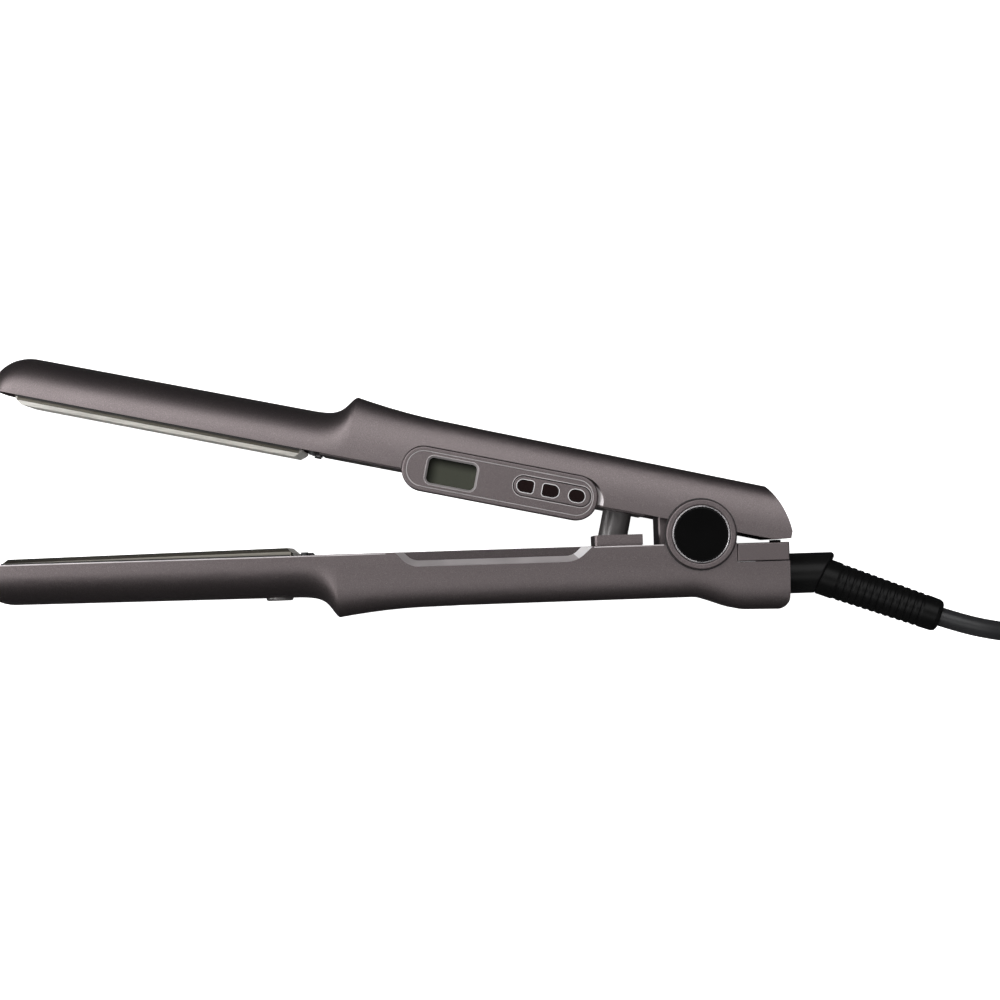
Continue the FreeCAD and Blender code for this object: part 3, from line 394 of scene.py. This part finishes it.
# ------------------------------------------------------------------ trim pieces
def on_upper(x, u, z):
    """From the upper arm's own frame, where x runs along the arm and u away from the plates."""
    return Vector((x * math.cos(OPEN_ANGLE) + u * math.sin(OPEN_ANGLE),
                   u * math.cos(OPEN_ANGLE) - x * math.sin(OPEN_ANGLE), z)) * MM


def on_lower(x, u, z):
    """From the lower arm's own frame, where u also runs away from the plates."""
    return Vector((x, -u, z)) * MM


# Places and sizes on the arms, in mm: x runs along the arm, u away from the plates, z up.
RIM_U = 3.25
POD_CENTRE = (-72.45, 4.4)
POD_SIZE = (69.7, 16.0)
POD_CORNER_R = 7.6
POD_END_R = 7.98
DISPLAY_CENTRE = (-89.7, 4.4)
DISPLAY_SIZE = (17.5, 9.4)
DISPLAY_CORNER_R = 2.0
KEY_PANEL_CENTRE = (-54.0, 5.0)
KEY_PANEL_SIZE = (27.8, 7.4)
KEY_PANEL_CORNER_R = 3.69
KEY_U = 5.0
KEY_HEIGHT = 4.3
BEZEL_R = 12.35
# Each key: its place along the arm, its length, and the radii of its left and right corners.
KEYS = {"minus": (-63.5, 5.8, (2.1, 0.9)), "plus": (-54.5, 5.8, (0.9, 2.1)),
        "power": (-45.2, 5.6, (2.1, 2.1))}
EDGE_STEPS = 24
CORNER_STEPS = 8
THICKNESS = 0.1


def band(name, loops, closed, place, finish, body):
    """A ribbon through several outlines with the same number of points, painted and put on a body."""
    work = bmesh.new()
    rows = [[work.verts.new(place(*point)) for point in loop] for loop in loops]
    count = len(rows[0])
    for row, after in zip(rows, rows[1:] + rows[:1]):
        for n in range(count if closed else count - 1):
            m = (n + 1) % count
            work.faces.new((row[n], row[m], after[m], after[n]))
    if not closed:
        work.faces.new([row[0] for row in rows])
        work.faces.new([row[-1] for row in reversed(rows)])
    bmesh.ops.recalc_face_normals(work, faces=work.faces)
    mesh = bpy.data.meshes.new(name)
    work.to_mesh(mesh)
    work.free()
    for face in mesh.polygons:
        face.use_smooth = True
    mesh.set_sharp_from_angle(angle=math.radians(40))
    piece = bpy.data.objects.new(name, mesh)
    bpy.context.scene.collection.objects.link(piece)
    mesh.materials.append(MATERIALS[finish])
    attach(piece, body)


def outline(centre, size, radii, grow, z):
    """A rounded rectangle grown by a margin; the left and right pairs of corners differ."""
    x, u = centre
    half_l = size[0] / 2 + grow
    half_h = size[1] / 2 + grow
    points = []
    for side, up, start in ((1, 1, 0), (-1, 1, 90), (-1, -1, 180), (1, -1, 270)):
        radius = (radii[1] if side > 0 else radii[0]) + grow
        for n in range(CORNER_STEPS + 1):
            angle = math.radians(start + 90 * n / CORNER_STEPS)
            points.append((x + side * (half_l - radius) + radius * math.cos(angle),
                           u + up * (half_h - radius) + radius * math.sin(angle), z))
    return points


def trim(name, centre, size, radii, section, finish):
    """A moulding round an outline; the section lists margin and height."""
    loops = [outline(centre, size, radii, grow, z) for grow, z in section]
    band(name, loops, True, on_upper, finish, "upper_arm")


def make_key_rims():
    section = [(0.02, 30.2), (0.02, 30.95), (0.1, 31.1), (0.24, 31.1), (0.34, 30.95), (0.34, 30.2)]
    for name, (x, length, radii) in KEYS.items():
        trim("key_rim_" + name, (x, KEY_U), (length, KEY_HEIGHT), radii, section, "rim_silver")


def make_pod_trim():
    """The frame of the display, the bead round the pod and the groove round the key panel: light
    strips paint highlights on the frame and the beads, a dark strip paints shade in the groove.
    """
    display_radii = (DISPLAY_CORNER_R, DISPLAY_CORNER_R)
    # Painted highlight on the display's chamfered frame.
    section = [(-0.05, 29.9), (0.02, 30.4), (0.62, 31.3), (0.5, 31.32), (-0.2, 30.3), (-0.25, 29.96)]
    trim("display_frame_glint", DISPLAY_CENTRE, DISPLAY_SIZE, display_radii, section, "bright_lacquer")
    pod_radii = (POD_CORNER_R, POD_CORNER_R)
    # The bead round the pod is shaped; its light colour is painted highlight.
    section = [(-1.52, 30.95), (-1.62, 31.2), (-1.75, 31.26), (-1.88, 31.2), (-1.98, 30.95)]
    trim("pod_glint_bead", POD_CENTRE, POD_SIZE, pod_radii, section, "bright_lacquer")
    panel_radii = (KEY_PANEL_CORNER_R, KEY_PANEL_CORNER_R)
    # Painted shade: a dark strip in the groove round the key panel.
    section = [(-0.3, 30.6), (-0.22, 30.93), (-0.1, 30.98), (0.02, 30.93), (0.04, 30.6)]
    trim("key_panel_groove_shade", KEY_PANEL_CENTRE, KEY_PANEL_SIZE, panel_radii, section, "gasket")
    # The bead round the key panel is shaped; its light colour is painted highlight.
    section = [(0.02, 31.0), (0.06, 31.24), (0.16, 31.27), (0.26, 31.24), (0.3, 31.0)]
    trim("key_panel_glint_bead", KEY_PANEL_CENTRE, KEY_PANEL_SIZE, panel_radii, section, "bright_lacquer")


def make_bezel_shade_ring():
    """The dark ring between the hinge bezel and the sides of the arms: painted shade in the gap round
    the bezel's edge.
    """
    section = [(0.02, 30.02), (0.02, 30.14), (0.22, 30.2), (0.42, 30.14), (0.42, 30.02)]
    trim("bezel_shade_ring", (0.0, 0.0), (2 * BEZEL_R, 2 * BEZEL_R), (BEZEL_R, BEZEL_R), section, "gasket")


def make_pod_end_glint():
    """A painted glint: a bright sheet on the upper arm's slope behind the pod's rear end; it narrows
    away from the rim.
    """
    centre_x = -45.40
    foot_z = 29.12
    slope_length = 1.98
    slope_rise = 0.87
    lift = 0.06
    steps = 16
    low = []
    high = []
    for n in range(steps + 1):
        angle = math.radians(-7 + 52 * n / steps)
        share = 1 - (n / steps) ** 2
        x = centre_x + POD_END_R * math.cos(angle)
        u = POD_CENTRE[1] + POD_END_R * math.sin(angle)
        low.append((x, u, foot_z))
        high.append((x + slope_length * share, u, foot_z + slope_rise * share))
    loops = [
        [(x, u, z + lift) for x, u, z in low],
        [(x, u, z + lift) for x, u, z in high],
        [(x, u, z - THICKNESS) for x, u, z in high],
        [(x, u, z - THICKNESS) for x, u, z in low],
    ]
    band("pod_end_glint", loops, False, on_upper, "bright_lacquer", "upper_arm")


def straight(x0, x1, section):
    """Outlines of a straight moulding from x0 to x1; the section lists u and height."""
    return [[(x0 + (x1 - x0) * n / EDGE_STEPS, u, z) for n in range(EDGE_STEPS + 1)]
            for u, z in section]


def make_rim_glints():
    """A painted highlight: a bright bead on the fine rounded edge along the rim of the lower arm."""
    section = [(3.16, 29.7), (3.16, 30.02), (3.3, 30.06), (3.55, 30.03), (3.55, 29.7)]
    for name, x0, x1 in (("barrel_rim_glint", -247.0, -139.0), ("handle_rim_glint", -139.0, -110.5),
                         ("rear_rim_glint", -37.4, -13.0)):
        band(name, straight(x0, x1, section), False, on_lower, "bright_lacquer", "lower_arm")


def make_plate_gap_shades():
    """The dark line between each heated plate and the rim of its barrel: a dark strip that paints the
    shade in the gap.
    """
    section = [(2.7, 28.3), (2.62, 28.5), (2.62, 28.8), (2.7, 29.0), (3.3, 29.0), (3.3, 28.3)]
    loops = straight(-245.0, -144.0, section)
    band("upper_plate_gap_shade", loops, False, on_upper, "gasket", "upper_arm")
    band("lower_plate_gap_shade", loops, False, on_lower, "gasket", "lower_arm")


def rounded_path(corners, bend, z):
    """The pocket's outline at one height: its two inner corners are rounded over bend."""
    a, b, c, d = [Vector(corner) for corner in corners]
    path = [a]
    for before, corner, after in ((a, b, c), (b, c, d)):
        start = corner + (before - corner).normalized() * bend
        end = corner + (after - corner).normalized() * bend
        for n in range(CORNER_STEPS + 1):
            t = n / CORNER_STEPS
            into = start.lerp(corner, t)
            path.append(into.lerp(corner.lerp(end, t), t))
    path.append(d)
    return [(point.x, point.y, z) for point in path]


def pocket_outlines():
    """The pocket that takes the pod, at the arm's side and at the pocket's floor."""
    outer = [(-107.04, RIM_U), (-102.4, 8.16), (-43.6, 8.16), (-38.1, RIM_U)]
    inner = [(-104.26, RIM_U), (-101.2, 6.2), (-45.0, 6.2), (-41.94, RIM_U)]
    return rounded_path(outer, 3.8, 29.95), rounded_path(inner, 2.4, 27.15)


def make_pocket_bevel_glint():
    """Painted highlight on the pocket's sloped edge: a bright sheet on its bevel; its stretch nearest
    the hinge is brighter.
    """
    outer, inner = pocket_outlines()
    lift = 0.14
    loops = [
        [(x, u - lift, z + lift) for x, u, z in outer],
        [(x, u - lift, z + lift) for x, u, z in inner],
        [(x, u + THICKNESS, z - THICKNESS) for x, u, z in inner],
        [(x, u + THICKNESS, z - THICKNESS) for x, u, z in outer],
    ]
    split = 2 * CORNER_STEPS - 1
    near = [loop[:split + 1] for loop in loops]
    far = [loop[split:] for loop in loops]
    # Painted highlight: light lacquer on the bevel, brighter silver on the stretch nearest the hinge.
    band("pocket_bevel_glint", near, False, on_lower, "bright_lacquer", "lower_arm")
    band("pocket_end_glint", far, False, on_lower, "rim_silver", "lower_arm")


def make_pocket_floor_shade():
    # Painted shade: a dark sheet of the darker lacquer copy on the pocket's floor.
    inner = pocket_outlines()[1]
    rim = [(x, RIM_U, z) for x, u, z in inner]
    lift = 0.01
    loops = [
        [(x, u, z + lift) for x, u, z in rim],
        [(x, u, z + lift) for x, u, z in inner],
        [(x, u, z - THICKNESS) for x, u, z in inner],
        [(x, u, z - THICKNESS) for x, u, z in rim],
    ]
    band("pocket_floor_shade", loops, False, on_lower, "dark_lacquer", "lower_arm")


# ------------------------------------------------------------------ stage and light
def make_floor():
    mesh = bpy.data.meshes.new("floor")
    half = 3.0
    mesh.from_pydata([(-half, -half, 0), (half, -half, 0), (half, half, 0), (-half, half, 0)], [],
                     [(0, 1, 2, 3)])
    floor = bpy.data.objects.new("floor", mesh)
    bpy.context.scene.collection.objects.link(floor)
    material, _, shader = new_material("floor")
    shader.inputs["Base Color"].default_value = (0.8, 0.8, 0.8, 1)
    shader.inputs["Emission Color"].default_value = (1, 1, 1, 1)
    shader.inputs["Emission Strength"].default_value = 1.0
    shader.inputs["Roughness"].default_value = 1.0
    shader.inputs["Specular IOR Level"].default_value = 0.0
    mesh.materials.append(material)
    floor.visible_glossy = False


def area_light(name, place, target, size, power):
    data = bpy.data.lights.new(name, "AREA")
    data.shape = "RECTANGLE"
    data.size, data.size_y = size
    data.energy = power
    light = bpy.data.objects.new(name, data)
    bpy.context.scene.collection.objects.link(light)
    light.matrix_world = look_from(Vector(place), Vector(target), Vector((0, 1, 0)))
    light.visible_camera = False
    return light


def only_on(light, names):
    """Keeps a light to the named pieces."""
    group = bpy.data.collections.new(light.name + "_receivers")
    for name in names:
        group.objects.link(NODES[name])
    light.light_linking.receiver_collection = group


def make_world():
    world = bpy.data.worlds.new("studio")
    bpy.context.scene.world = world
    world.use_nodes = True
    tree = world.node_tree
    background = tree.nodes["Background"]
    pale = add(tree, "ShaderNodeBackground", Strength=1.0)
    pale.inputs["Color"].default_value = (0.86, 0.86, 0.86, 1)
    background.inputs["Color"].default_value = (0.036, 0.036, 0.038, 1)
    path = tree.nodes.new("ShaderNodeLightPath")
    mix = tree.nodes.new("ShaderNodeMixShader")
    tree.links.new(path.outputs["Is Camera Ray"], mix.inputs["Fac"])
    tree.links.new(background.outputs["Background"], mix.inputs[1])
    tree.links.new(pale.outputs["Background"], mix.inputs[2])
    tree.links.new(mix.outputs["Shader"], tree.nodes["World Output"].inputs["Surface"])


def make_light():
    area_light("overhead", (-0.08, 0.50, 0.93), (-0.06, 0.03, 0), (1.8, 0.66), 8.6)
    area_light("nose_light", (-0.42, 0.24, 0.46), (-0.23, 0.05, 0.02), (0.35, 0.3), 0.5)
    area_light("front", (-0.15, -0.36, 0.92), (-0.1, -0.03, 0), (1.8, 0.34), 2.8)
    area_light("left_high", (-0.70, 0.0, 0.80), (-0.1, 0.0, 0.0), (0.25, 0.9), 2.4)
    area_light("left_low", (-1.0, 0.1, 0.2), (-0.1, 0.0, 0.02), (0.5, 0.3), 3.0)
    plate_card = area_light("plate_card", (-0.2, -0.9, 0.12), (-0.2, 0.0, 0.02), (1.4, 0.3), 3.2)
    only_on(plate_card, ["upper_plate", "lower_plate"])
    sun = bpy.data.lights.new("floor_light", "SUN")
    sun.energy = 1.0
    sun.angle = math.radians(120)
    lamp = bpy.data.objects.new("floor_light", sun)
    lamp.visible_glossy = False
    bpy.context.scene.collection.objects.link(lamp)


# ------------------------------------------------------------------ build
bpy.context.scene.view_settings.view_transform = "Standard"
make_camera()
make_cord()
paint_cad_nodes()
make_key_rims()
make_pod_trim()
make_bezel_shade_ring()
make_pod_end_glint()
make_rim_glints()
make_plate_gap_shades()
make_pocket_bevel_glint()
make_pocket_floor_shade()
make_floor()
make_world()
make_light()
